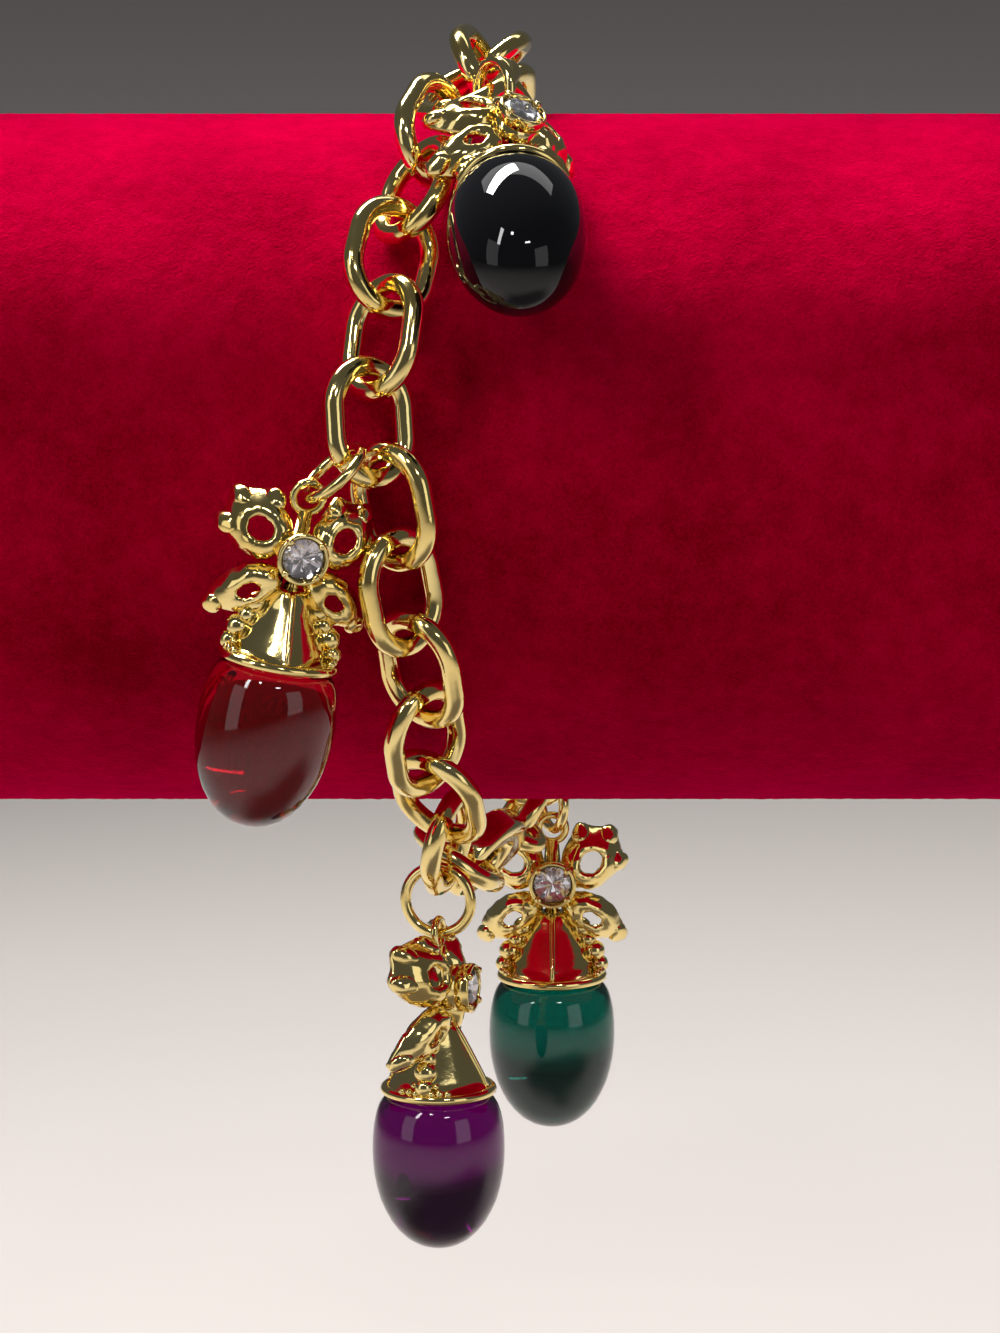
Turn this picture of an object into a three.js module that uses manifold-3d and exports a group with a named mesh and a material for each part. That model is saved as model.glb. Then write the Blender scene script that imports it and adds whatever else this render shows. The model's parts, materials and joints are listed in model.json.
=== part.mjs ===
import * as THREE from 'three';
import { mergeVertices } from 'three/addons/utils/BufferGeometryUtils.js';
import Module from 'manifold-3d';

// Charm bracelet looped round a round velvet display bar.
// Millimetres, Z up, the bar's axis along X, its middle at the origin, the front towards -Y.

const gap = 0.3;

// Display bar
const barDiameter = 55;
const barLength = 110;

// Chain links: one closed wire each, straight sides and round ends, as long as the loop needs
const linkCount = 28;
const linkWidth = 8.1;
const linkWire = 1.55;
const linkSlack = 0.1;

// Clasp: one plain lobster shape with an eye at its rear end
const claspLength = 17.2;
const claspWidth = 7;
const claspDepth = 2.8;
const claspEye = 5.2;
const claspEyeBore = 2.5;
const claspEyeDepth = 1.5;
const claspMouthWidth = 2.7;
const claspWall = 1.5;
const claspMouthShare = 0.3;
const claspSlack = 0.6;

// Jump rings
const ringWire = 0.87;
const ringSpan = 5.3;
const wideRingSpan = 6.2;

// Charm: eyelet on top, flower with a stone in the middle, cap, glass drop
const eyeletBore = 1.7;
const eyeletWire = 0.55;
const flowerDrop = 4.25;
const capDrop = 7.1;
const capHeight = 5.3;
const rimDiameter = 9.15;
const rimWire = 0.62;
const bezelDiameter = 3.95;
const bezelDepth = 1.4;
const bezelFront = 2.95;
const bezelFloor = 0.3;
const rhinestoneDiameter = 3.1;
const rhinestoneHeight = 1.35;
const rhinestoneGap = 0.12;
const postWidth = 1.5;
const bossShare = 0.94;
const petalReach = 6.4;
const petalThickness = 0.75;
const petalSweep = 1.2;
const petalFront = -2.05;
const petalBack = 2.5;
const knobDiameter = 1.25;
const knobPlace = 0.9;
const stemKnobDiameter = 1.5;
const capHollow = 0.16;
const dropDiameter = 10.5;
const dropLength = 12.5;

// Sides of the round pieces and steps of the rings
const barSides = 64;
const linkSteps = 14;
const ringSteps = 12;
const wireSides = 6;
const castSides = 16;
const castWireSides = 5;
const eyeletSteps = 10;
const petalSides = 10;
const postSides = 8;
const stoneSides = 12;

const barRadius = barDiameter / 2;
const capRadius = (rimDiameter - rimWire) / 2;
const capBottom = capDrop + capHeight;
const dropTop = capBottom + rimWire / 2 + gap;

// Route of the chain's middle line round the bar, front first, then over the top and down the back.
// angle: degrees up from the front. turn: degrees that the links are turned about the chain.
// lift: beyond the closest fit, across: along the bar, both as shares of the bar's radius.
const route = [
  { angle: -87, lift: 0.0073, across: -0.0327, turn: 40 },
  { angle: -69, lift: 0.06, across: -0.12, turn: 38 },
  { angle: -57, lift: 0.07, across: -0.15, turn: 20 },
  { angle: -45, lift: 0.04, across: -0.1782, turn: 30 },
  { angle: -34, lift: 0.0218, across: -0.2091, turn: 44 },
  { angle: -22, lift: 0.0109, across: -0.2218, turn: 40 },
  { angle: -10, lift: 0.0073, across: -0.2727, turn: 43 },
  { angle: 1.7, lift: 0.0036, across: -0.2945, turn: 42 },
  { angle: 13.3, lift: 0.0036, across: -0.3564, turn: 52 },
  { angle: 25.2, lift: 0.0036, across: -0.3236, turn: 46 },
  { angle: 37.2, lift: 0.0036, across: -0.3, turn: 54 },
  { angle: 48.8, lift: 0.0073, across: -0.2345, turn: 46 },
  { angle: 60.7, lift: 0.0218, across: -0.1891, turn: 30 },
  { angle: 72, lift: 0.0327, across: -0.0945, turn: 20 },
  { angle: 84, lift: 0.0182, across: -0.0509, turn: 30 },
  { angle: 100, lift: 0.0036, across: -0.0218, turn: 45 },
  { angle: 116, lift: 0, across: -0.0073, turn: 45 },
  { angle: 137, lift: 0, across: 0.0036, turn: 45 },
  { angle: 158, lift: 0.0036, across: 0.0218, turn: 45 },
  { angle: 180, lift: 0.0073, across: 0.04, turn: 45 },
  { angle: 202, lift: 0.0036, across: 0.0582, turn: 45 },
  { angle: 225, lift: 0.0036, across: 0.0764, turn: 40 },
  { angle: 244, lift: 0.0145, across: 0.072, turn: 14 },
  { angle: 257, lift: 0.0218, across: 0.066, turn: 36 },
];

// Petals on one side: the upper one stands out beside the eyelet, the lower one beside the cap.
// out, up: the middle's place. long, wide: half sizes. All four are shares of petalReach.
// window: share of the petal. angle: the way its length points. knobs: degrees round its edge.
const petals = [
  { out: 0.5, up: 0.24, long: 0.42, wide: 0.4, window: 0.44, angle: 50, knobs: [0, 62, -58] },
  { out: 0.515, up: -0.515, long: 0.477, wide: 0.29, window: 0.4, angle: -38, knobs: [0] },
];

// Where each charm hangs. near: angle of its link. odd: which of the two link directions.
// at: degrees round the link's wire. reach: way from the wire to the eyelet.
// apart: how far, where the ring isn't taut, as a share of the ring.
// way: way from the eyelet to the ring's middle, there. twist: the ring's turn about that way.
// lean, tip, spin: how the charm is turned, about Y, X and its own axis.
const charms = [
  {
    name: 'black', near: 72, odd: true, at: -32.5, ring: ringSpan, reach: [0.53, -0.75, -0.39], apart: 0.438,
    way: [-0.39, 0.68, 0.63], twist: -3, lean: -6.4, tip: -63.4, spin: 30, glass: 0x0b0b0d,
  },
  {
    name: 'red', near: 13.3, odd: false, at: 218, ring: wideRingSpan, reach: [-0.71, -0.24, -0.66],
    twist: 4, lean: 10.8, tip: 0, spin: 11, glass: 0x8a0614,
  },
  {
    name: 'purple', near: -57, odd: false, at: 207, ring: wideRingSpan, reach: [0, 0, -1],
    twist: 0, lean: 0, tip: 0, spin: 74, glass: 0x4b0f6e,
  },
  {
    name: 'green', near: 247, odd: true, at: 40, ring: ringSpan, reach: [0, 0, -1],
    twist: 25, lean: 0, tip: 0, spin: 0, glass: 0x04584a,
  },
];

const wasm = await Module();
wasm.setup();

const gold = new THREE.MeshStandardMaterial({ color: 0xd9a93a, roughness: 0.18, metalness: 1 });
const velvet = new THREE.MeshStandardMaterial({ color: 0xb30038, roughness: 0.95, metalness: 0 });
const crystal = new THREE.MeshStandardMaterial({ color: 0xdfe3ea, roughness: 0.05, metalness: 0 });

const degrees = THREE.MathUtils.degToRad;

// Solids from geometries, and back
function toSolid(geometry) {
  const bare = geometry.clone();
  bare.deleteAttribute('normal');
  bare.deleteAttribute('uv');
  const merged = mergeVertices(bare, 1e-5);
  const mesh = new wasm.Mesh({
    numProp: 3,
    vertProperties: new Float32Array(merged.attributes.position.array),
    triVerts: new Uint32Array(merged.index.array),
  });
  return new wasm.Manifold(mesh);
}

function toGeometry(solid) {
  const mesh = solid.getMesh();
  const geometry = new THREE.BufferGeometry();
  geometry.setAttribute('position', new THREE.BufferAttribute(mesh.vertProperties, 3));
  geometry.setIndex(new THREE.BufferAttribute(mesh.triVerts, 1));
  geometry.computeVertexNormals();
  return geometry;
}

function joined(geometries) {
  return geometries.map(toSolid).reduce((whole, next) => whole.add(next));
}

// A lathed piece about its own Y, from rows of [radius, height] that end on the axis or close on themselves
function lathe(rows, sides) {
  return new THREE.LatheGeometry(rows.map(([r, h]) => new THREE.Vector2(r, h)), sides);
}

function knob(diameter, x, y, z) {
  const ball = new THREE.IcosahedronGeometry(diameter / 2);
  ball.translate(x, y, z);
  return ball;
}

// Display bar
function displayBar() {
  const bar = new THREE.CylinderGeometry(barRadius, barRadius, barLength, barSides);
  bar.rotateZ(Math.PI / 2);
  return bar;
}

// One link, its length along Y, made from a round ring pulled apart at its middle
function link() {
  const ring = new THREE.TorusGeometry(linkRound, linkWire / 2, wireSides, linkSteps);
  ring.rotateZ(Math.PI / 2);
  const spots = ring.attributes.position;
  for (let i = 0; i < spots.count; i++) {
    spots.setY(i, spots.getY(i) + Math.sign(spots.getY(i)) * linkStraight);
  }
  return ring;
}

function jumpRing(span) {
  return new THREE.TorusGeometry((span - ringWire) / 2, ringWire / 2, wireSides, ringSteps);
}

// Clasp, its length along Y with the mouth at -Y, lying flat in XY
const claspRows = [
  [0, 0], [0.5, 0.03], [0.84, 0.14], [1, 0.36], [0.94, 0.6], [0.68, 0.83], [0.42, 0.95], [0, 1],
];

function clasp() {
  const nose = -claspLength / 2;
  const bodyLength = claspLength - claspEye + claspWall / 2;
  const eyeMiddle = (claspLength - claspEye) / 2;
  const body = lathe(claspRows.map(([r, h]) => [r * claspWidth / 2, nose + h * bodyLength]), castSides);
  body.scale(1, 1, claspDepth / claspWidth);
  const eye = sideways(claspEye, claspEyeDepth, eyeMiddle);
  const bore = sideways(claspEyeBore, claspWidth, eyeMiddle);
  const mouthRound = claspMouthWidth / 2;
  const mouthStart = nose + claspWall + mouthRound;
  const mouth = new THREE.Shape();
  mouth.absarc(0, mouthStart, mouthRound, Math.PI, 2 * Math.PI, false);
  mouth.absarc(0, mouthStart + bodyLength * claspMouthShare, mouthRound, 0, Math.PI, false);
  const cut = { depth: claspDepth, curveSegments: 6, bevelEnabled: false };
  const slot = new THREE.ExtrudeGeometry(mouth, cut);
  slot.translate(0, 0, -claspDepth / 2);
  const solid = joined([body, eye]).subtract(toSolid(bore));
  return toGeometry(solid.subtract(toSolid(slot)));
}

// A disc with its axis along X, at a place up the clasp
function sideways(diameter, width, up) {
  const disc = new THREE.CylinderGeometry(diameter / 2, diameter / 2, width, castSides);
  disc.rotateZ(Math.PI / 2);
  disc.translate(0, up, 0);
  return disc;
}

// Charm pieces, in the charm's own frame: the eyelet's bore at the origin along Y,
// the drop towards -Z, the flower's front towards -Y.

// A petal is a flared ring whose bore is its window. It sweeps back as it leaves the bezel.
function petal(row, side) {
  const sweep = petalSweep;
  const ring = lathe([
    [row.window, 0], [0.75, sweep * 0.3], [1, sweep], [0.95, sweep + petalThickness],
    [row.window, petalThickness], [row.window, 0],
  ], petalSides);
  ring.scale(row.long * petalReach, 1, row.wide * petalReach);
  const pieces = [ring];
  for (const turn of row.knobs) {
    const x = row.long * petalReach * knobPlace * Math.cos(degrees(turn));
    const z = row.wide * petalReach * knobPlace * Math.sin(degrees(turn));
    pieces.push(knob(knobDiameter, x, sweep * knobPlace, z));
  }
  const middle = Math.hypot(row.out, row.up) * petalReach;
  for (const piece of pieces) {
    piece.rotateY(degrees(-row.angle));
    piece.translate(row.out * petalReach, 0, row.up * petalReach);
    bendBack(piece, middle + row.long * petalReach);
    piece.translate(0, petalFront, -flowerDrop);
  }
  return side > 0 ? pieces : pieces.map(mirrored);
}

// Moves points back with the square of their distance from the bezel's middle
function bendBack(geometry, reach) {
  const bend = petalBack - petalFront - petalSweep - petalThickness;
  const spots = geometry.attributes.position;
  for (let i = 0; i < spots.count; i++) {
    const share = Math.hypot(spots.getX(i), spots.getZ(i)) / reach;
    spots.setY(i, spots.getY(i) + bend * share * share);
  }
}

// The same piece on the other side of the charm, its triangles turned to face out again
function mirrored(geometry) {
  const copy = geometry.index ? geometry.toNonIndexed() : geometry.clone();
  const spots = copy.attributes.position;
  for (let i = 0; i < spots.count; i += 3) {
    const [x, y, z] = [spots.getX(i), spots.getY(i), spots.getZ(i)];
    spots.setXYZ(i, -spots.getX(i + 1), spots.getY(i + 1), spots.getZ(i + 1));
    spots.setXYZ(i + 1, -x, y, z);
    spots.setX(i + 2, -spots.getX(i + 2));
  }
  return copy;
}

function bezel() {
  const outer = bezelDiameter / 2;
  const bore = rhinestoneDiameter / 2 + rhinestoneGap;
  const floor = bezelDepth * bezelFloor;
  const cup = lathe([
    [0, 0], [outer * 0.8, 0], [outer, bezelDepth * 0.4], [outer, bezelDepth],
    [bore, bezelDepth], [bore, floor], [0, floor],
  ], castSides);
  return toFront(cup);
}

// Turns a lathed piece's top to the front and puts its foot at the back of the bezel
function toFront(geometry) {
  geometry.rotateZ(Math.PI);
  geometry.translate(0, bezelDepth - bezelFront, -flowerDrop);
  return geometry;
}

// Cut stone: a point below, a girdle, a crown and a flat table
function rhinestone() {
  const r = rhinestoneDiameter / 2;
  const foot = bezelDepth * bezelFloor + rhinestoneGap;
  const rows = [[0, 0], [1, 0.5], [1, 0.6], [0.62, 1], [0, 1]];
  const stone = lathe(rows.map(([share, h]) => [share * r, foot + h * rhinestoneHeight]), stoneSides);
  return toFront(stone);
}

// Post behind the bezel, from the eyelet down into the cap, with a boss that carries the bezel
function post() {
  const top = -eyeletBore / 2 - eyeletWire / 2;
  const foot = -capDrop - postWidth;
  const rod = new THREE.CylinderGeometry(postWidth / 2, postWidth / 2, top - foot, postSides);
  rod.rotateX(Math.PI / 2);
  rod.translate(0, 0, (top + foot) / 2);
  const bossRound = bezelDiameter * bossShare / 2;
  const bossLength = bezelFront - bezelDepth * (1 - bezelFloor / 2);
  const boss = new THREE.CylinderGeometry(bossRound, bossRound, bossLength, stoneSides);
  boss.translate(0, -bossLength / 2, -flowerDrop);
  return [rod, boss];
}

function eyelet() {
  const round = (eyeletBore + eyeletWire) / 2;
  const ring = new THREE.TorusGeometry(round, eyeletWire / 2, castWireSides, eyeletSteps);
  ring.rotateX(Math.PI / 2);
  return ring;
}

// Cap: a cone with four hollowed faces between ribs at the front, back and sides
const capRows = [
  [0, 0], [0.28, 0], [0.42, 0.14], [0.68, 0.5], [0.9, 0.82], [0.98, 1], [0, 1],
];

function cap() {
  const cone = lathe(capRows.map(([r, h]) => [r * capRadius, -h * capHeight]).reverse(), castSides);
  const spots = cone.attributes.position;
  for (let i = 0; i < spots.count; i++) {
    const round = Math.atan2(spots.getX(i), spots.getZ(i));
    const depth = -spots.getY(i) / capHeight;
    const hollow = 1 - capHollow * Math.abs(Math.sin(2 * round)) * 4 * depth * (1 - depth);
    spots.setX(i, spots.getX(i) * hollow);
    spots.setZ(i, spots.getZ(i) * hollow);
  }
  cone.rotateX(Math.PI / 2);
  cone.translate(0, 0, -capDrop);
  return cone;
}

function rim() {
  const ring = new THREE.TorusGeometry(capRadius, rimWire / 2, castWireSides, castSides);
  ring.translate(0, 0, -capBottom);
  return ring;
}

// Knobbly stems down the cap's two sides, from its top to the rim. down and out are shares of the cap.
const stemKnobs = [
  { down: 0.14, out: 0.4, size: 0.85 },
  { down: 0.45, out: 0.66, size: 1 },
  { down: 0.78, out: 0.88, size: 0.9 },
];

function stem(side) {
  return stemKnobs.map(({ down, out, size }) => (
    knob(stemKnobDiameter * size, side * out * capRadius, 0, -capDrop - down * capHeight)
  ));
}

function flowerAndCap() {
  const sides = [1, -1];
  const parts = [bezel(), ...post(), eyelet(), cap(), rim()];
  parts.push(...sides.flatMap((side) => petals.flatMap((row) => petal(row, side))));
  parts.push(...sides.flatMap(stem));
  return toGeometry(joined(parts));
}

// Glass drop: flat top under the cap, widest above its middle, round below
const dropRows = [
  [0, 1], [0.34, 0.965], [0.62, 0.87], [0.84, 0.71], [0.96, 0.54], [1, 0.36],
  [0.975, 0.18], [0.9, 0.06], [0.8, 0], [0, 0],
];

function glassDrop() {
  const drop = lathe(dropRows.map(([r, h]) => [r * dropDiameter / 2, -h * dropLength]), castSides);
  drop.rotateX(Math.PI / 2);
  drop.translate(0, 0, -dropTop);
  return drop;
}

// The chain's route: a closed smooth curve through the rows
const linkRound = (linkWidth - linkWire) / 2;
const fitted = barRadius + gap + linkWire / 2 + linkRound * Math.SQRT1_2;

function routePoint({ angle, lift, across }) {
  const away = fitted + lift * barRadius;
  const up = degrees(angle);
  return new THREE.Vector3(across * barRadius, -away * Math.cos(up), away * Math.sin(up));
}

const middleLine = new THREE.CatmullRomCurve3(route.map(routePoint), true);
middleLine.arcLengthDivisions = 2000;

// Link places: the clasp takes its share of the loop at the first row, and the links fill the rest.
// A link reaches past its pitch by what it laps over the next one.
const loopLength = middleLine.getLength();
const claspEyeWall = (claspEye - claspEyeBore) / 2;
const claspInside = claspLength - claspWall - claspEyeWall - linkWire - 2 * gap - claspSlack;
const overlap = linkWire + gap + linkSlack;
const pitch = (loopLength - claspInside - overlap) / linkCount;
const linkReach = pitch + overlap;
const linkStraight = (linkReach + linkWire - linkWidth) / 2;
const claspShare = claspInside + linkReach;

// Rows between the two nearest ones, for a distance along the loop
function routeValue(share, column) {
  const place = middleLine.getUtoTmapping(share) * route.length;
  const before = Math.floor(place) % route.length;
  const after = (before + 1) % route.length;
  return THREE.MathUtils.lerp(route[before][column], route[after][column], place - Math.floor(place));
}

// The frame of one link: its middle, its length, its width and the way out from the bar
function linkFrame(index) {
  const share = (claspShare / 2 + index * pitch) / loopLength;
  const middle = middleLine.getPointAt(share);
  const length = middleLine.getTangentAt(share);
  const out = new THREE.Vector3(0, middle.y, middle.z);
  out.addScaledVector(length, -out.dot(length)).normalize();
  const side = new THREE.Vector3().crossVectors(length, out);
  const turn = degrees(routeValue(share, 'turn') - (index % 2 ? 90 : 0));
  const width = side.multiplyScalar(Math.cos(turn)).addScaledVector(out, Math.sin(turn));
  const face = new THREE.Vector3().crossVectors(width, length);
  const angle = THREE.MathUtils.radToDeg(Math.atan2(middle.z, -middle.y));
  return { index, middle, length, width, face, angle };
}

function place(mesh, middle, across, along, face) {
  const turned = new THREE.Matrix4().makeBasis(across, along, face);
  mesh.quaternion.setFromRotationMatrix(turned);
  mesh.position.copy(middle);
  return mesh;
}

const links = Array.from({ length: linkCount }, (_, index) => linkFrame(index));

// A point on the middle of a link's wire, by degrees round it from its width side
function onLink({ middle, width, length }, round) {
  const a = degrees(round);
  const up = linkRound * Math.sin(a) + Math.sign(Math.sin(a)) * linkStraight;
  return middle.clone().addScaledVector(width, linkRound * Math.cos(a)).addScaledVector(length, up);
}

// The link of the wanted direction that lies nearest an angle round the bar
function linkNear(angle, odd) {
  const apart = (frame) => Math.abs(THREE.MathUtils.euclideanModulo(frame.angle - angle + 180, 360) - 180);
  const fitting = links.filter((frame) => (frame.index % 2 === 0) === odd);
  return fitting.reduce((best, frame) => (apart(frame) < apart(best) ? frame : best));
}

const two = (number) => String(number).padStart(2, '0');

const bracelet = new THREE.Group();

function add(name, geometry, material, parent = bracelet) {
  const mesh = new THREE.Mesh(geometry, material);
  mesh.name = name;
  parent.add(mesh);
  return mesh;
}

add('display_bar', displayBar(), velvet);

const linkShape = link();
for (const frame of links) {
  const mesh = add(`link_${two(frame.index + 1)}`, linkShape, gold);
  place(mesh, frame.middle, frame.width, frame.length, frame.face);
}

// The clasp runs from the last link's end to the first link's, its mouth at right angles to the first link
function placeClasp() {
  const first = links[0];
  const last = links[linkCount - 1];
  const mouth = first.middle.clone().addScaledVector(first.length, -linkReach / 2);
  const eye = last.middle.clone().addScaledVector(last.length, linkReach / 2);
  const along = eye.clone().sub(mouth).normalize();
  const middle = mouth.clone().add(eye).multiplyScalar(0.5);
  middle.addScaledVector(along, (claspEyeWall - claspWall) / 2);
  const across = first.face.clone().addScaledVector(along, -first.face.dot(along)).normalize();
  const face = new THREE.Vector3().crossVectors(across, along);
  place(add('clasp', clasp(), gold), middle, across, along, face);
}

placeClasp();

// Charms, each on its jump ring
const charmShapes = { metal: flowerAndCap(), drop: glassDrop(), stone: rhinestone() };

function addCharm(row) {
  const frame = linkNear(row.near, row.odd);
  const wire = onLink(frame, row.at);
  const reach = new THREE.Vector3(...row.reach).normalize();
  const ringRound = (row.ring - ringWire) / 2;
  const taut = 2 * ringRound - ringWire / 2 - linkWire / 2 - gap;
  const eye = wire.clone().addScaledVector(reach, row.apart ? row.apart * row.ring : taut);
  const charm = new THREE.Group();
  charm.position.copy(eye);
  charm.rotation.set(degrees(row.tip), degrees(row.lean), degrees(row.spin), 'YXZ');
  const glass = new THREE.MeshStandardMaterial({ color: row.glass, roughness: 0.05, metalness: 0 });
  add(`${row.name}_flower`, charmShapes.metal, gold, charm);
  add(`${row.name}_drop`, charmShapes.drop, glass, charm);
  add(`${row.name}_rhinestone`, charmShapes.stone, crystal, charm);
  bracelet.add(charm);
  addRing(row, eye, charm.rotation, row.way ? new THREE.Vector3(...row.way).normalize() : reach.negate());
}

// A jump ring through an eyelet, its middle lying a given way from it
function addRing(row, eye, turned, way) {
  const bore = new THREE.Vector3(0, 1, 0).applyEuler(turned);
  const normal = new THREE.Vector3().crossVectors(way, bore).normalize();
  const along = new THREE.Vector3().crossVectors(normal, way);
  along.applyAxisAngle(way, degrees(row.twist));
  normal.applyAxisAngle(way, degrees(row.twist));
  const middle = eye.clone().addScaledVector(way, (row.ring - ringWire) / 2);
  place(add(`${row.name}_ring`, jumpRing(row.ring), gold), middle, way, along, normal);
}

charms.forEach(addCharm);

export default bracelet;
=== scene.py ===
import json
import math

import bmesh
import bpy
import numpy as np
from mathutils import Matrix, Vector, noise


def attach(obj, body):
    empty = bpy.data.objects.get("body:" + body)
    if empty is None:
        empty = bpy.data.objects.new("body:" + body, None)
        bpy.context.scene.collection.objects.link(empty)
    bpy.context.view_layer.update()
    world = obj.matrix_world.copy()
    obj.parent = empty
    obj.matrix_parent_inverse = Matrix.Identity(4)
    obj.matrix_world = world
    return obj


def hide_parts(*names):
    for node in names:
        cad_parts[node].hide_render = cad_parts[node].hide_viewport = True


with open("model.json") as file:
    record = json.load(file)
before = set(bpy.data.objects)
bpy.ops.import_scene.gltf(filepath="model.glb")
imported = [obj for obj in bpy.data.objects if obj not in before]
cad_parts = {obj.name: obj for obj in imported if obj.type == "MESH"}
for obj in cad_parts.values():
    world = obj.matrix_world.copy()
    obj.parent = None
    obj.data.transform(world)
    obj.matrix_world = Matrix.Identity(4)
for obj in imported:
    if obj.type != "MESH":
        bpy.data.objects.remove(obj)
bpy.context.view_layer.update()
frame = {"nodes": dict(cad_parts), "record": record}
mm = 0.001
print("frame loaded")


# camera, at the photograph's angle and distance
view = {
    "place": (0.0, -0.47473, 0.07095),
    "tip": 10.51,
    "lens": 161.23,
    "sensor": 36.0,
}
camera = bpy.data.objects.new("camera", bpy.data.cameras.new("camera"))
camera.data.sensor_fit = "VERTICAL"
camera.data.sensor_height = view["sensor"]
camera.data.lens = view["lens"]
camera.data.clip_start = 0.01
camera.data.clip_end = 20
camera.location = view["place"]
camera.rotation_euler = (math.radians(90 - view["tip"]), 0, 0)
bpy.context.collection.objects.link(camera)
bpy.context.scene.camera = camera


# shader sums as plain expressions
class Wire:
    def __init__(self, material, socket):
        self.material = material
        self.socket = socket

    def sum(self, operation, *values):
        return self.material.add("ShaderNodeMath", {"operation": operation}, values)

    def __add__(self, other): return self.sum("ADD", self, other)
    def __radd__(self, other): return self.sum("ADD", other, self)
    def __sub__(self, other): return self.sum("SUBTRACT", self, other)
    def __rsub__(self, other): return self.sum("SUBTRACT", other, self)
    def __mul__(self, other): return self.sum("MULTIPLY", self, other)
    def __rmul__(self, other): return self.sum("MULTIPLY", other, self)
    def clamp(self): return self.sum("MINIMUM", self.sum("MAXIMUM", self, 0.0), 1.0)


class Finish:
    def __init__(self, name, **fixed):
        self.data = bpy.data.materials.new(name)
        self.data.use_nodes = True
        self.tree = self.data.node_tree
        self.surface = self.tree.nodes["Principled BSDF"]
        for key, value in fixed.items():
            self.surface.inputs[key.replace("_", " ")].default_value = value

    def add(self, kind, settings=None, values=(), out=0):
        node = self.tree.nodes.new(kind)
        for key, value in (settings or {}).items():
            setattr(node, key, value)
        pairs = values.items() if isinstance(values, dict) else enumerate(values)
        for key, value in pairs:
            self.feed(node.inputs[key], value)
        return Wire(self, node.outputs[out])

    def feed(self, socket, value):
        if isinstance(value, Wire):
            self.tree.links.new(value.socket, socket)
        else:
            socket.default_value = value

    def surfaceTakes(self, **wires):
        for key, value in wires.items():
            self.feed(self.surface.inputs[key.replace("_", " ")], value)

    def points(self):
        return self.add("ShaderNodeTexCoord", out="Object")

    def noise(self, scale, detail=3.0, rough=0.55, vector=None):
        values = {"Vector": vector or self.points(), "Scale": scale, "Detail": detail, "Roughness": rough}
        return self.add("ShaderNodeTexNoise", {}, values)

    def bump(self, height, distance, strength=1.0):
        values = {"Strength": strength, "Distance": distance, "Height": height}
        return self.add("ShaderNodeBump", {}, values)

    def mix(self, factor, first, second):
        values = {0: factor, 6: (*first, 1.0), 7: (*second, 1.0)}  # the colour sockets of the node
        return self.add("ShaderNodeMix", {"data_type": "RGBA"}, values, out=2)


def goldFinish():
    look = {
        "colour": (0.96, 0.79, 0.36), "deep": (0.88, 0.66, 0.22), "rough": 0.10,
        "broadScale": 160.0, "fineScale": 900.0, "bump": 0.35, "bumpDepth": 0.00006,
    }
    gold = Finish("polished gold", Metallic=1.0, Roughness=look["rough"])
    broad = gold.noise(look["broadScale"], 2.0)
    fine = gold.noise(look["fineScale"], 3.0)
    gold.surfaceTakes(
        Base_Color=gold.mix((broad * 2.4 - 0.7).clamp(), look["colour"], look["deep"]),
        Roughness=(look["rough"] + (fine - 0.5) * 0.10 + (broad - 0.5) * 0.08).clamp(),
        Normal=gold.bump(fine + broad * 2.0, look["bumpDepth"], look["bump"]),
    )
    return gold.data


def velvetFinish():
    look = {
        "pile": (0.20, 0.0, 0.005), "raised": (0.54, 0.0, 0.030), "sheen": (1.0, 0.0, 0.12),
        "patchScale": 55.0, "napScale": 640.0, "fibreScale": 5200.0, "bump": 0.7, "bumpDepth": 0.00022,
    }
    velvet = Finish(
        "deep pink velvet", Roughness=0.95, Sheen_Weight=1.0, Sheen_Roughness=0.42,
        Sheen_Tint=(*look["sheen"], 1.0), Specular_IOR_Level=0.0,
    )
    patches = velvet.noise(look["patchScale"], 4.0, 0.6)
    nap = velvet.noise(look["napScale"], 3.0, 0.6)
    fibres = velvet.noise(look["fibreScale"], 2.0, 0.7)
    shade = ((patches - 0.5) * 1.6 + (nap - 0.5) * 0.7 + (fibres - 0.5) * 1.1 + 0.45).clamp()
    velvet.surfaceTakes(
        Base_Color=velvet.mix(shade, look["pile"], look["raised"]),
        Normal=velvet.bump(fibres + nap * 1.5 + patches, look["bumpDepth"], look["bump"]),
    )
    return velvet.data


def glassFinish(name, colour, through):
    look = {
        "rough": 0.02, "bend": 1.52, "shine": 0.35, "rippleScale": 90.0, "bump": 0.25, "bumpDepth": 0.00012,
    }
    glass = Finish(
        name, Roughness=look["rough"], IOR=look["bend"], Transmission_Weight=through,
        Base_Color=(*colour, 1.0), Specular_IOR_Level=look["shine"],
    )
    ripple = glass.noise(look["rippleScale"], 2.0)
    glass.surfaceTakes(Normal=glass.bump(ripple, look["bumpDepth"], look["bump"]))
    return glass.data


finishes = {
    "gold": goldFinish(),
    "velvet": velvetFinish(),
    "crystal": glassFinish("clear cut stone", (0.97, 0.97, 1.0), 0.97),
    "foil": Finish("silver foil", Metallic=1.0, Roughness=0.06, Base_Color=(0.84, 0.80, 0.80, 1.0)).data,
    "black_glass": glassFinish("black glass", (0.004, 0.004, 0.005), 0.0),
    "red_glass": glassFinish("ruby glass", (0.36, 0.0, 0.008), 0.96),
    "purple_glass": glassFinish("violet glass", (0.090, 0.0, 0.085), 0.96),
    "green_glass": glassFinish("emerald glass", (0.0, 0.088, 0.062), 0.96),
}
print("finishes made")


# helpers: a finished mesh becomes a piece that rides on a body and stands for a CAD node
bodies = frame["record"]["behaviour"]["bodies"]
bodyOf = {node: body for body, nodes in bodies.items() for node in nodes}


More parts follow.
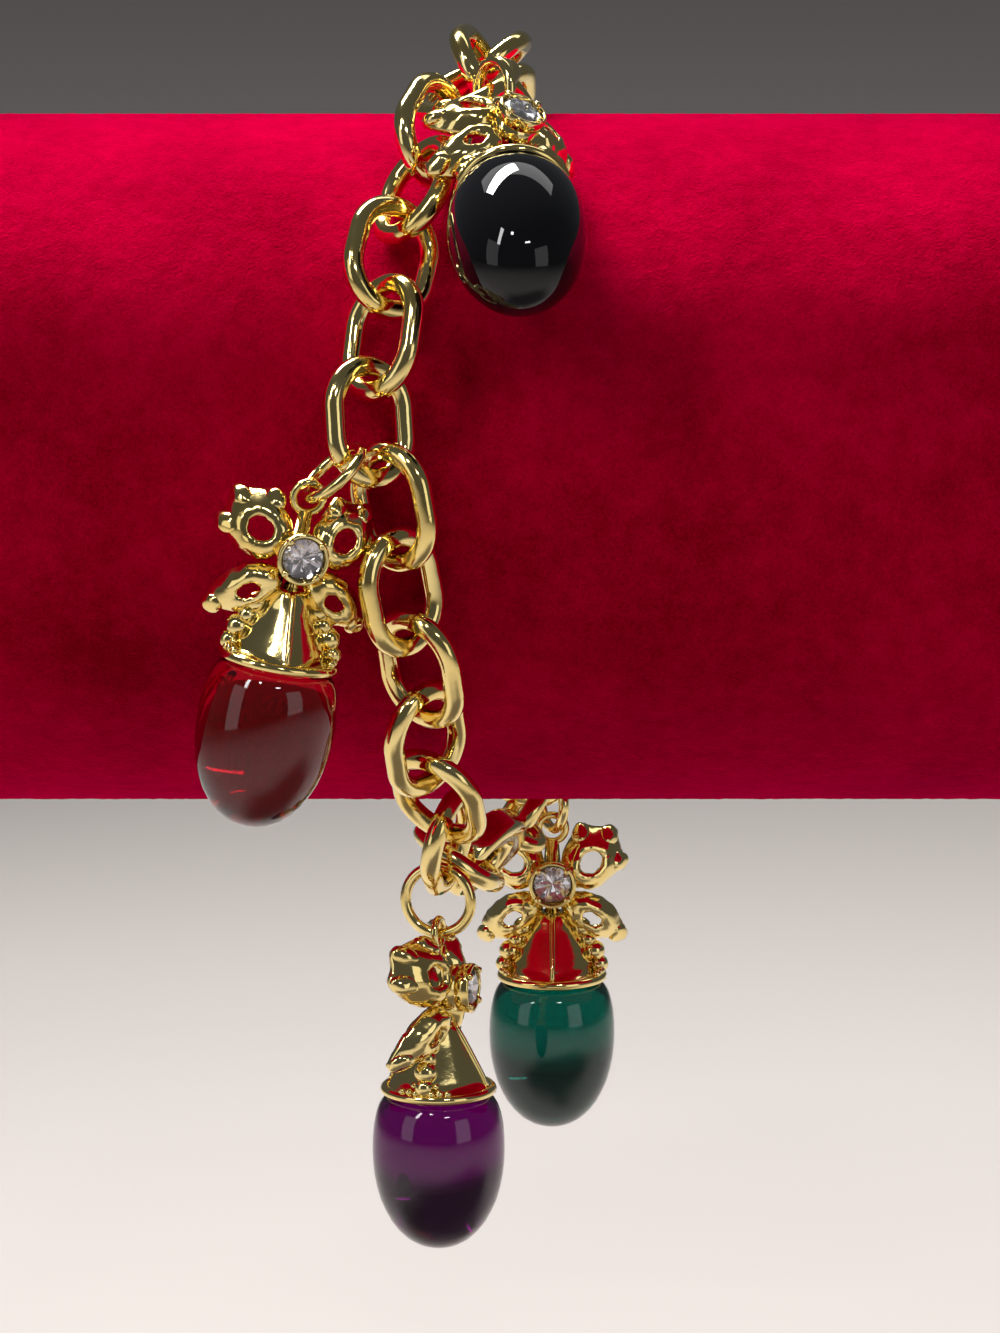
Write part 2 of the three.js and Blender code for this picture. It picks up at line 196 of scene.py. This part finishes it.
def finishPiece(name, mesh, node, slot, smooth=True, scale=mm, turn=None, finish=None):
    bmesh.ops.remove_doubles(mesh, verts=mesh.verts, dist=1e-5)
    bmesh.ops.recalc_face_normals(mesh, faces=mesh.faces)
    bmesh.ops.transform(mesh, matrix=Matrix.Diagonal((scale, scale, scale, 1.0)), verts=mesh.verts)
    if turn is not None:
        bmesh.ops.transform(mesh, matrix=turn, verts=mesh.verts)
    data = bpy.data.meshes.new(name)
    mesh.to_mesh(data)
    mesh.free()
    piece = bpy.data.objects.new(name, data)
    bpy.context.collection.objects.link(piece)
    data.materials.append(finishes[finish or slot])
    for face in data.polygons:
        face.use_smooth = smooth
    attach(piece, bodyOf[node])
    if finish is None:
        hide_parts(node)
    return piece


def solidPoints(node):
    solid = frame["nodes"][node]
    spots = np.array([tuple(solid.matrix_world @ v.co) for v in solid.data.vertices])
    return np.unique(np.round(spots, 7), axis=0)


def mainAxes(spots):
    centre = spots.mean(axis=0)
    spread, axes = np.linalg.eigh(np.cov((spots - centre).T))
    return Vector(centre), [Vector(axes[:, i]) for i in np.argsort(-spread)], sorted(spread, reverse=True)


def standAt(middle, x, y):
    z = x.cross(y).normalized()
    y = z.cross(x).normalized()
    turned = Matrix((x, y, z)).transposed().to_4x4()
    turned.translation = middle
    return turned


def spinRows(mesh, rows, steps, closed=False):
    spots = [mesh.verts.new((r, 0.0, z)) for r, z in rows]
    edges = [mesh.edges.new(pair) for pair in zip(spots, spots[1:])]
    if closed:
        edges.append(mesh.edges.new((spots[-1], spots[0])))
    bmesh.ops.spin(
        mesh, geom=spots + edges, cent=(0, 0, 0), axis=(0, 0, 1), angle=math.tau, steps=steps, use_merge=True,
    )


def ringMesh(round, wire, steps, sides):
    mesh = bmesh.new()
    rows = [
        (round + wire / 2 * math.cos(math.tau * i / sides), wire / 2 * math.sin(math.tau * i / sides))
        for i in range(sides)
    ]
    spinRows(mesh, rows, steps, closed=True)
    return mesh


def join(mesh, part):
    data = bpy.data.meshes.new("part")
    part.to_mesh(data)
    part.free()
    mesh.from_mesh(data)
    bpy.data.meshes.remove(data)


def addRing(mesh, round, wire, steps, sides, turn):
    part = ringMesh(round, wire, steps, sides)
    bmesh.ops.transform(part, matrix=turn, verts=part.verts)
    join(mesh, part)


# display bar
barLook = {
    "radius": 27.5, "length": 110.0, "around": 200, "along": 220, "edge": 1.2, "fuzz": 0.05, "fuzzScale": 1.6,
}


def displayBar():
    mesh = bmesh.new()
    half = barLook["length"] / 2
    rows = [(0.0, -half), (barLook["radius"] - barLook["edge"], -half)]
    rows += [
        (barLook["radius"] - barLook["edge"] * (1 - math.sin(a)), -half + barLook["edge"] * (1 - math.cos(a)))
        for a in (math.radians(d) for d in (22, 45, 68))
    ]
    count = barLook["along"]
    inner = half - barLook["edge"]
    rows += [(barLook["radius"], -inner + 2 * inner * i / count) for i in range(count + 1)]
    rows += [(r, -z) for r, z in reversed(rows[:5])]
    spinRows(mesh, rows, barLook["around"])
    bmesh.ops.remove_doubles(mesh, verts=mesh.verts, dist=1e-4)
    for spot in mesh.verts:
        away = Vector((spot.co.x, spot.co.y, 0))
        if away.length > 1:
            lift = noise.fractal(spot.co * barLook["fuzzScale"], 0.8, 2.0, 3) * barLook["fuzz"]
            spot.co += away.normalized() * (lift - barLook["fuzz"] * 0.6)
    bmesh.ops.rotate(mesh, verts=mesh.verts, cent=(0, 0, 0), matrix=Matrix.Rotation(math.pi / 2, 3, "Y"))
    return finishPiece("velvet_bar", mesh, "display_bar", "velvet")


displayBar()
print("bar made")


# chain links and jump rings follow their solids
linkLook = {"round": 3.275, "straight": 1.0, "wire": 1.62, "steps": 56, "sides": 16}
ringLook = {"wire": 0.87, "steps": 48, "sides": 12}


def chainLink(node):
    mesh = ringMesh(linkLook["round"], linkLook["wire"], linkLook["steps"], linkLook["sides"])
    bmesh.ops.rotate(
        mesh, verts=mesh.verts, cent=(0, 0, 0), matrix=Matrix.Rotation(math.pi / linkLook["steps"], 3, "Z"),
    )
    for spot in mesh.verts:
        spot.co.y += math.copysign(linkLook["straight"], spot.co.y)
    middle, axes, _ = mainAxes(solidPoints(node))
    finishPiece(node + "_wire", mesh, node, "gold", turn=standAt(middle, axes[1], axes[0]))


def jumpRing(node):
    spots = solidPoints(node)
    middle, axes, _ = mainAxes(spots)
    reach = max((Vector(s) - middle).length for s in spots) / mm
    mesh = ringMesh(reach - ringLook["wire"] / 2, ringLook["wire"], ringLook["steps"], ringLook["sides"])
    finishPiece(node + "_wire", mesh, node, "gold", turn=standAt(middle, axes[0], axes[1]))


for node in sorted(name for name in bodyOf if name.startswith("link_")):
    chainLink(node)
for charm in ("black", "red", "purple", "green"):
    jumpRing(charm + "_ring")


# clasp: a flat casting with a long mouth, rounded all round, and an eye turned across it
claspLook = {
    "length": 17.2, "width": 7.0, "depth": 2.8, "eye": 5.2, "eyeWire": 1.35, "mouth": 2.7, "wall": 1.5,
    "mouthShare": 0.3, "round": 0.95, "eyeOverlap": 0.75,
}
# share of the clasp's half width at each share of its length
claspShape = [
    (0, 0), (0.26, 0.008), (0.5, 0.03), (0.7, 0.08), (0.84, 0.14), (0.95, 0.24), (1, 0.36), (0.99, 0.48),
    (0.94, 0.6), (0.83, 0.72), (0.68, 0.83), (0.52, 0.9), (0.42, 0.95), (0.3, 0.985), (0, 1),
]


def claspPiece():
    mesh = bmesh.new()
    look = claspLook
    nose, body = -look["length"] / 2, look["length"] - look["eye"] + look["eyeOverlap"]
    outline = [(r * look["width"] / 2, nose + h * body) for r, h in claspShape]
    outline += [(-x, y) for x, y in reversed(outline[1:-1])]
    half = look["mouth"] / 2
    low = nose + look["wall"] + half
    high = low + body * look["mouthShare"]
    count = len(outline)
    turns = [math.tau * i / count - math.pi / 2 for i in range(count)]
    slot = [(half * math.cos(a), (low if math.sin(a) < 0.001 else high) + half * math.sin(a)) for a in turns]
    loops = []
    for row in (outline, slot):
        spots = [mesh.verts.new((x, y, -look["depth"] / 2)) for x, y in row]
        loops += [mesh.edges.new((spots[i], spots[(i + 1) % count])) for i in range(count)]
    bmesh.ops.bridge_loops(mesh, edges=loops)
    raised = bmesh.ops.extrude_face_region(mesh, geom=mesh.faces[:])["geom"]
    top = [item for item in raised if isinstance(item, bmesh.types.BMVert)]
    bmesh.ops.translate(mesh, verts=top, vec=(0, 0, look["depth"]))
    bmesh.ops.recalc_face_normals(mesh, faces=mesh.faces)
    corners = [e for e in mesh.edges if len(e.link_faces) == 2 and e.calc_face_angle() > 1.3]
    bmesh.ops.bevel(
        mesh, geom=corners, offset=look["round"], segments=5, profile=0.5, affect="EDGES", material=-1,
        clamp_overlap=True,
    )
    eyeRound = (look["eye"] - look["eyeWire"]) / 2
    eyePlace = Matrix.Translation((0, look["length"] / 2 - look["eye"] / 2, 0))
    addRing(mesh, eyeRound, look["eyeWire"], 48, 12, eyePlace @ Matrix.Rotation(math.pi / 2, 4, "Y"))
    spots = solidPoints("clasp")
    middle, axes, _ = mainAxes(spots)
    along = axes[0] if claspEyeAt(spots, middle, axes) > 0 else -axes[0]
    reach = sorted((Vector(s) - middle).dot(along) for s in spots)
    centre = middle + along * (reach[0] + reach[-1]) / 2
    return mesh, standAt(centre, axes[1], along)


def claspEyeAt(spots, middle, axes):
    # the mouth end is the wide flat one: compare how far each half spreads sideways
    sides = {1: [0.0], -1: [0.0]}
    for spot in spots:
        away = Vector(spot) - middle
        sides[1 if away.dot(axes[0]) > 0 else -1].append(abs(away.dot(axes[1])))
    return max(sides[-1]) - max(sides[1])


claspMesh, claspStand = claspPiece()
finishPiece("clasp_casting", claspMesh, "clasp", "gold", turn=claspStand)
print("chain made")


# charm pieces, in millimetres in the charm's own frame: eyelet at the origin, front to -Y, drop to -Z
charmLook = {
    "eyeletBore": 1.7, "eyeletWire": 0.55, "flowerDrop": 4.25, "capDrop": 7.1, "capHeight": 5.3,
    "rim": 9.15, "rimWire": 0.8, "dropTop": 13.01, "dropWidth": 10.5, "dropLength": 12.5,
    "bezel": 3.95, "bezelFront": 2.95, "bezelDepth": 1.4, "stone": 3.1, "wave": 0.16,
    "capInset": 0.62, "claw": 0.62,
}
petalLook = {
    "reach": 6.4, "thick": 0.75, "sweep": 1.2, "front": -2.05, "back": 2.5, "steps": 56,
    "upper": {
        "out": 0.5, "up": 0.24, "long": 0.42, "wide": 0.40, "window": 0.36, "angle": 50,
        "knobs": (0, 62, -58),
    },
    "lower": {
        "out": 0.515, "up": -0.515, "long": 0.477, "wide": 0.29, "window": 0.3, "angle": -38, "knobs": (0,),
    },
}


def ball(mesh, size, x, y, z, detail=2):
    place = Matrix.Translation((x, y, z))
    bmesh.ops.create_icosphere(mesh, subdivisions=detail, radius=size / 2, matrix=place)


def addPetal(mesh, row, side):
    part = bmesh.new()
    window, thick, sweep = row["window"], petalLook["thick"], petalLook["sweep"]
    inner = [
        (window, thick * 0.75), (window - 0.02, thick * 0.5), (window, thick * 0.22), (window + 0.08, 0.0),
    ]
    outer = [(0.62, sweep * 0.06), (0.80, sweep * 0.42), (0.93, sweep * 0.85), (0.99, sweep * 1.1)]
    back = [
        (1.0, sweep + thick * 0.45), (0.95, sweep + thick * 0.95), (0.78, sweep * 0.6 + thick),
        (0.6, thick * 1.1),
    ]
    spinRows(part, inner + outer + back, petalLook["steps"], closed=True)
    long, wide = row["long"] * petalLook["reach"], row["wide"] * petalLook["reach"]
    for spot in part.verts:
        r = math.hypot(spot.co.x, spot.co.y)
        turn = math.degrees(math.atan2(spot.co.y, spot.co.x))
        swell = sum(math.exp(-((turn - knob) / 20) ** 2) for knob in row["knobs"])
        share = max(0.0, (r - window) / (1 - window))
        grow = 1 + (0.13 * swell - 0.05 * (1 - swell)) * share
        spot.co = Vector((spot.co.x * long * grow, spot.co.z, spot.co.y * wide * grow))
    for knob in row["knobs"]:
        a = math.radians(knob)
        ball(part, 1.65, long * 0.9 * math.cos(a), sweep * 0.85, wide * 0.9 * math.sin(a), 3)
    tilt = Matrix.Rotation(math.radians(-row["angle"]), 3, "Y")
    bend = petalLook["back"] - petalLook["front"] - sweep - thick
    reach = math.hypot(row["out"], row["up"]) * petalLook["reach"] + long
    for spot in part.verts:
        place = tilt @ spot.co
        place += Vector((row["out"], 0, row["up"])) * petalLook["reach"]
        place.y += bend * (math.hypot(place.x, place.z) / reach) ** 2 + petalLook["front"]
        place.z -= charmLook["flowerDrop"]
        place.x *= side
        spot.co = place
    bmesh.ops.recalc_face_normals(part, faces=part.faces)
    join(mesh, part)


def addTube(mesh, points, widths, sides=10):
    part = bmesh.new()
    rings = []
    for i, (point, width) in enumerate(zip(points, widths)):
        along = (points[min(i + 1, len(points) - 1)] - points[max(i - 1, 0)]).normalized()
        ring = bmesh.ops.create_circle(part, segments=sides, radius=width / 2)["verts"]
        turned = along.to_track_quat("Z", "X").to_matrix().to_4x4()
        bmesh.ops.transform(part, matrix=Matrix.Translation(point) @ turned, verts=ring)
        rings.append(ring)
    for first, second in zip(rings, rings[1:]):
        for i in range(sides):
            part.faces.new((first[i], first[(i + 1) % sides], second[(i + 1) % sides], second[i]))
    part.faces.new(rings[0])
    part.faces.new(rings[-1])
    bmesh.ops.recalc_face_normals(part, faces=part.faces)
    join(mesh, part)


capLook = {"hollow": 0.20, "steps": 96, "rows": 24, "ribPoints": 13, "ribWire": 0.5, "ribSunk": 0.12}
# share of the cap's radius at each share of its height
capShape = [
    (0.28, 0), (0.36, 0.06), (0.42, 0.14), (0.52, 0.27), (0.66, 0.47), (0.8, 0.67), (0.9, 0.82), (0.98, 1),
]


def capRadius(depth):
    for (r0, d0), (r1, d1) in zip(capShape, capShape[1:]):
        if depth <= d1:
            return r0 + (r1 - r0) * (depth - d0) / (d1 - d0)
    return capShape[-1][0]


def addCap(mesh):
    part = bmesh.new()
    wide = (charmLook["rim"] - charmLook["capInset"]) / 2
    height = charmLook["capHeight"]
    depths = [i / capLook["rows"] for i in range(capLook["rows"] + 1)]
    rows = [(0.0, 0.0)] + [(capRadius(d) * wide, -d * height) for d in depths] + [(0.0, -height)]
    spinRows(part, rows, capLook["steps"])
    bmesh.ops.remove_doubles(part, verts=part.verts, dist=1e-4)
    for spot in part.verts:
        depth = min(1.0, max(0.0, -spot.co.z / height))
        round = math.atan2(spot.co.x, -spot.co.y)
        hollow = abs(math.sin(2 * round)) ** 0.6
        shrink = 1 - capLook["hollow"] * hollow * min(1.0, 4.6 * depth * (1 - depth) ** 0.7)
        if 0 < depth < 0.999:
            spot.co.x *= shrink
            spot.co.y *= shrink
        spot.co.z -= charmLook["capDrop"]
    bmesh.ops.recalc_face_normals(part, faces=part.faces)
    join(mesh, part)
    count = capLook["ribPoints"]
    for face in (1, -1):  # one rib in front and one behind
        points = []
        for i in range(count):
            d = 0.02 + 0.95 * i / (count - 1)
            r = capRadius(d) * wide - capLook["ribSunk"]
            points.append(Vector((0, -face * r, -charmLook["capDrop"] - d * height)))
        addTube(mesh, points, [capLook["ribWire"] - 0.1 * i / (count - 1) for i in range(count)])


stemLook = {
    # knobs down the cap's side: share of its height, share of its radius, size
    "knobs": [
        (0.06, 0.42, 1.5), (0.25, 0.56, 1.75), (0.45, 0.69, 1.45), (0.63, 0.82, 1.85), (0.84, 0.93, 1.5),
    ],
    # rows of grains at the foot: count, step, size, share of the radius, height, stagger
    "grains": [(7, 0.62, 0.62, 0.98, -12.0, 0.05), (4, 0.6, 0.55, 0.9, -11.5, 0.0)],
}


def addStem(mesh, side):
    wide = (charmLook["rim"] - charmLook["capInset"]) / 2
    foot = Vector((side * 0.93 * wide, 0, -charmLook["capDrop"] - 0.95 * charmLook["capHeight"]))
    addTube(mesh, [Vector((side * 1.3, 0, -charmLook["capDrop"])), foot], [0.9, 1.1], 12)
    for down, out, size in stemLook["knobs"]:
        ball(mesh, size, side * out * wide, 0, -charmLook["capDrop"] - down * charmLook["capHeight"], 3)
    for count, step, size, share, height, stagger in stemLook["grains"]:
        for i in range(count):
            across = (i - (count - 1) / 2) * step
            out = math.sqrt((wide * share) ** 2 - across ** 2)
            ball(mesh, size, side * out, across, height + stagger * (i % 2))


def flowerCasting():
    mesh = bmesh.new()
    sideways = Matrix.Rotation(math.pi / 2, 4, "X")
    for side in (1, -1):
        addPetal(mesh, petalLook["upper"], side)
        addPetal(mesh, petalLook["lower"], side)
    roughen(mesh, charmLook["wave"])
    for side in (1, -1):
        addStem(mesh, side)
    addCap(mesh)
    eye = (charmLook["eyeletBore"] + charmLook["eyeletWire"]) / 2
    addRing(mesh, eye, charmLook["eyeletWire"] + 0.06, 40, 12, sideways)
    rimPlace = Matrix.Translation((0, 0, -charmLook["capDrop"] - charmLook["capHeight"] - 0.12))
    addRing(mesh, charmLook["rim"] / 2 - 0.38, charmLook["rimWire"], 96, 12, rimPlace)
    addTube(mesh, [Vector((0, 0, -0.95)), Vector((0, 0.1, -4)), Vector((0, 0, -8))], [1.1, 1.6, 2.2], 16)
    addTube(mesh, [Vector((0, 0.2, -4.25)), Vector((0, -1.9, -4.25))], [3.3, 3.5], 32)
    addBezel(mesh)
    return mesh


def roughen(mesh, depth):
    mesh.normal_update()
    lifts = [
        noise.noise(spot.co * 0.9) * depth + noise.noise(spot.co * 2.3) * depth * 0.5 for spot in mesh.verts
    ]
    for spot, lift in zip(mesh.verts, lifts):
        spot.co += spot.normal * lift


def addBezel(mesh):
    part = bmesh.new()
    outer, bore = charmLook["bezel"] / 2, charmLook["stone"] / 2 + 0.1
    deep = charmLook["bezelDepth"]
    rows = [
        (0, 0), (outer * 0.8, 0), (outer * 0.95, deep * 0.3), (outer, deep * 0.6), (outer, deep * 0.88),
        (outer * 0.95, deep), (bore * 1.03, deep), (bore, deep * 0.93), (bore, deep * 0.3), (0, deep * 0.3),
    ]
    spinRows(part, rows, 64)
    forward = Matrix.Rotation(math.pi / 2, 4, "X")
    place = Matrix.Translation((0, deep - charmLook["bezelFront"], -charmLook["flowerDrop"]))
    bmesh.ops.transform(part, matrix=place @ forward, verts=part.verts)
    bmesh.ops.remove_doubles(part, verts=part.verts, dist=1e-4)
    bmesh.ops.recalc_face_normals(part, faces=part.faces)
    join(mesh, part)
    for i in range(4):
        a = math.radians(45 + 90 * i)
        r = outer * 0.86
        up = -charmLook["flowerDrop"] + r * math.sin(a)
        ball(mesh, charmLook["claw"], r * math.cos(a), -charmLook["bezelFront"] + 0.02, up)


def cutStone():
    mesh = bmesh.new()
    r = charmLook["stone"] / 2
    rows = [(0.98, 0.80, 16, 0), (1.0, 0.86, 16, 0), (0.82, 1.08, 8, 0.5), (0.56, 1.22, 8, 0)]
    for share, height, count, shift in rows:
        for i in range(count):
            a = math.tau * (i + shift) / count
            mesh.verts.new((math.cos(a) * share * r, math.sin(a) * share * r, height))
    bmesh.ops.convex_hull(mesh, input=mesh.verts)
    bmesh.ops.delete(mesh, geom=[v for v in mesh.verts if not v.link_faces], context="VERTS")
    bmesh.ops.dissolve_limit(mesh, angle_limit=0.02, verts=mesh.verts, edges=mesh.edges)
    forward = Matrix.Rotation(math.pi / 2, 4, "X")
    back = charmLook["bezelDepth"] - charmLook["bezelFront"] - 0.25
    place = Matrix.Translation((0, back, -charmLook["flowerDrop"]))
    bmesh.ops.transform(mesh, matrix=place @ forward, verts=mesh.verts)
    return mesh


def foilBack():
    mesh = bmesh.new()
    r, steps = charmLook["stone"] / 2, 16
    depth = charmLook["bezelDepth"]
    rows = [(0.0, 0.36), (0.45, 0.46), (0.98, 0.72)]
    spinRows(mesh, [(share * r, depth * height) for share, height in rows], steps)
    bmesh.ops.remove_doubles(mesh, verts=mesh.verts, dist=1e-4)
    for spot in mesh.verts:
        around = round(math.atan2(spot.co.y, spot.co.x) / math.tau * steps)
        if around % 2 and spot.co.xy.length > 0.1:
            spot.co.z -= depth * 0.12
    forward = Matrix.Rotation(math.pi / 2, 4, "X")
    place = Matrix.Translation((0, depth - charmLook["bezelFront"], -charmLook["flowerDrop"]))
    bmesh.ops.transform(mesh, matrix=place @ forward, verts=mesh.verts)
    return mesh


# share of the drop's half width at each share of its length
dropShape = [
    (0, 0), (0.5, 0), (0.74, 0.002), (0.8, 0.012), (0.85, 0.035), (0.9, 0.07), (0.94, 0.12), (0.975, 0.19),
    (0.994, 0.27), (1, 0.35), (0.994, 0.43), (0.975, 0.51), (0.94, 0.59), (0.89, 0.67), (0.82, 0.74),
    (0.735, 0.81), (0.63, 0.87),
    (0.5, 0.925), (0.35, 0.966), (0.18, 0.992), (0, 1),
]


def glassDrop():
    mesh = bmesh.new()
    wide, long, top = charmLook["dropWidth"], charmLook["dropLength"], charmLook["dropTop"]
    rows = [(r * wide / 2, -top - d * long) for r, d in dropShape]
    spinRows(mesh, rows, 96)
    bmesh.ops.remove_doubles(mesh, verts=mesh.verts, dist=1e-4)
    return mesh


def charmPlace(charm):
    spots = solidPoints(charm + "_drop")
    middle, axes, spread = mainAxes(spots)
    axis = axes[0] if spread[0] - spread[1] > spread[1] - spread[2] else axes[2]
    stone = Vector(solidPoints(charm + "_rhinestone").mean(axis=0))
    if (stone - middle).dot(axis) < 0:
        axis = -axis
    top = max((Vector(s) - middle).dot(axis) for s in spots)
    origin = middle + axis * (top + charmLook["dropTop"] * mm)
    front = stone - middle
    front -= axis * front.dot(axis)
    across = axis.cross(front).normalized()
    return standAt(origin, across, -front.normalized())


for charm in ("black", "red", "purple", "green"):
    place = charmPlace(charm)
    finishPiece(charm + "_casting", flowerCasting(), charm + "_flower", "gold", turn=place)
    finishPiece(charm + "_glass", glassDrop(), charm + "_drop", charm + "_glass", turn=place)
    stone = charm + "_rhinestone"
    finishPiece(charm + "_cut_stone", cutStone(), stone, "crystal", smooth=False, turn=place)
    finishPiece(charm + "_foil", foilBack(), stone, "crystal", smooth=False, turn=place, finish="foil")
print("charms made")


# floor and light
studio = {
    "floor": -0.085, "floorColour": (0.36, 0.33, 0.31), "floorGlow": 0.10,
    "sky": 0.10, "skyColour": (0.75, 0.78, 0.82, 1),
}
lights = {
    "top": {"place": (-0.22, 0.38, 0.72), "size": (0.50, 0.14), "power": 1.85, "spread": 50},
    "left": {"place": (-0.42, -0.42, 0.50), "size": (0.07, 0.30), "power": 1.15},
    "room": {"place": (0.75, -0.75, 0.10), "size": (0.50, 0.80), "power": 1.2},
    "wall": {"place": (-0.90, -0.60, 0.25), "size": (0.45, 0.70), "power": 0.9},
    "lamp one": {"place": (-0.14, -0.42, 0.52), "size": (0.05, 0.05), "power": 0.30},
    "lamp two": {"place": (0.16, -0.50, 0.40), "size": (0.10, 0.03), "power": 0.35},
    "floor wash": {"place": (0.0, 0.55, 0.80), "size": (1.2, 0.3), "power": 2.0, "target": (0, 0.5, -0.08)},
}


def floorPlane():
    mesh = bmesh.new()
    bmesh.ops.create_grid(mesh, x_segments=1, y_segments=1, size=6.0)
    bmesh.ops.translate(mesh, verts=mesh.verts, vec=(0, 0, studio["floor"]))
    data = bpy.data.meshes.new("floor")
    mesh.to_mesh(data)
    mesh.free()
    floor = bpy.data.objects.new("floor", data)
    bpy.context.collection.objects.link(floor)
    pale = (*studio["floorColour"], 1.0)
    look = Finish(
        "pale floor", Base_Color=pale, Roughness=0.8, Emission_Color=pale,
        Emission_Strength=studio["floorGlow"],
    )
    data.materials.append(look.data)


def softLight(name, place, size, power, target=(0, 0, 0), spread=180):
    data = bpy.data.lights.new(name, "AREA")
    data.shape = "RECTANGLE"
    data.size, data.size_y = size
    data.energy = power
    data.spread = math.radians(spread)
    light = bpy.data.objects.new(name, data)
    light.location = place
    light.rotation_euler = (Vector(target) - Vector(place)).to_track_quat("-Z", "Y").to_euler()
    bpy.context.collection.objects.link(light)


floorPlane()
for name, light in lights.items():
    softLight(name, **light)
bpy.context.scene.view_settings.view_transform = "Standard"
world = bpy.data.worlds.new("studio")
world.use_nodes = True
world.node_tree.nodes["Background"].inputs[0].default_value = studio["skyColour"]
world.node_tree.nodes["Background"].inputs[1].default_value = studio["sky"]
bpy.context.scene.world = world
print("studio made")
